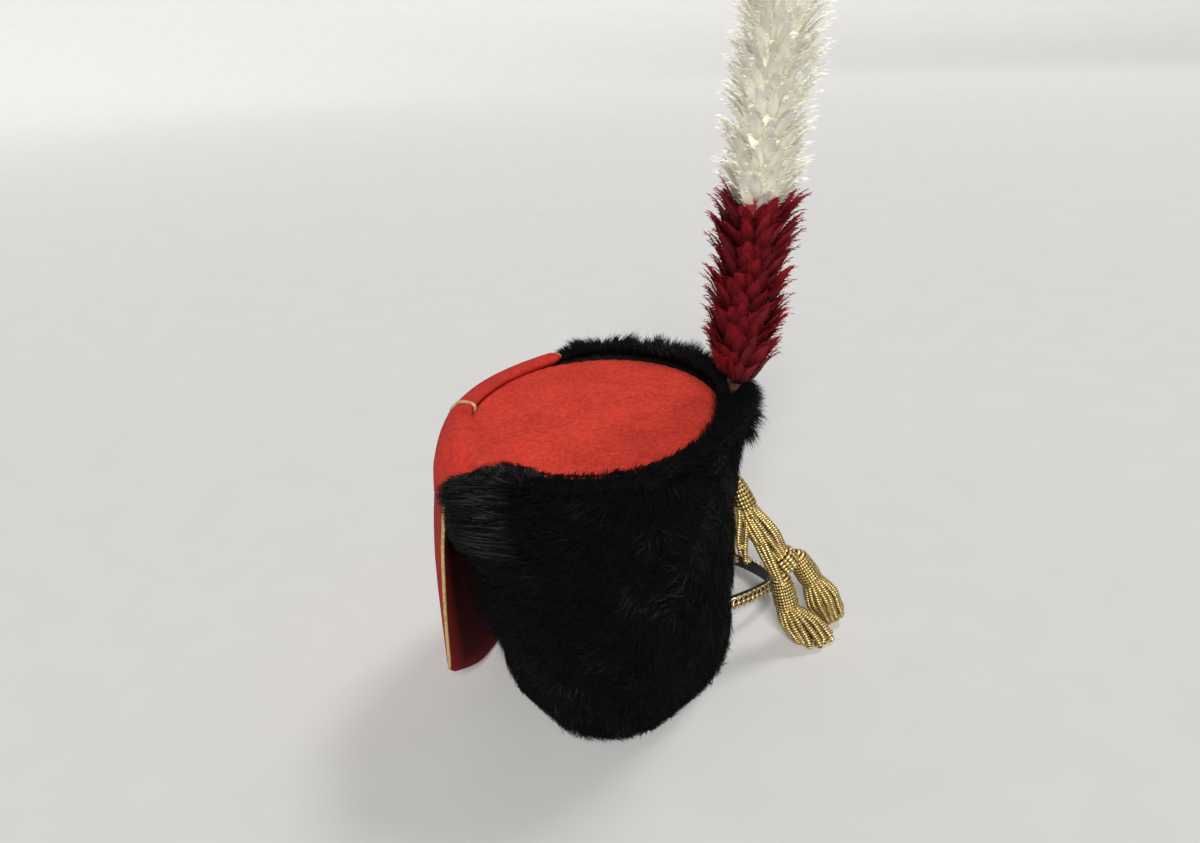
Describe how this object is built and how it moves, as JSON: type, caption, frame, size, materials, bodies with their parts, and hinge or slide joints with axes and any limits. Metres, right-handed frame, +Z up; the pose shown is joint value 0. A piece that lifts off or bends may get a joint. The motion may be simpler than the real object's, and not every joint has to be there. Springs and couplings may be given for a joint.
{
  "type": "fur busby",
  "caption": "Flared fur busby standing on its rim, with a red felt crown and hanging side bag, a two-colour feather plume, bullion tassels and a chain-faced chin strap.",
  "frame": {"origin": "under the middle of the part's box, on the surface that the rim stands on", "axes": "+Z up along the hat, the front faces -Y, the plume is at +X and the bag at -X"},
  "size_m": [0.3106, 0.2732, 0.4914],
  "materials": {
    "fur": "long black fur",
    "red_felt": "matt red felt",
    "gold_braid": "gold thread braid",
    "quill": "bound plume stem",
    "crimson_feather": "dark crimson feathers",
    "white_feather": "cream-white feathers",
    "bullion": "coiled gold wire and thread",
    "strap_leather": "black strap leather",
    "chain_brass": "worn brass chain"
  },
  "bodies": {
    "root": {"fur_body": "fur", "crown_top": "red_felt", "bag": "red_felt", "bag_braid_front": "gold_braid", "bag_braid_middle": "gold_braid", "bag_braid_back": "gold_braid", "bag_button": "gold_braid", "plume_stem": "quill", "plume_crimson": "crimson_feather", "plume_white": "white_feather", "tassel_upper": "bullion", "tassel_inner": "bullion", "tassel_outer": "bullion", "chin_strap": "strap_leather", "chin_chain": "chain_brass"}
  },
  "joints": []
}
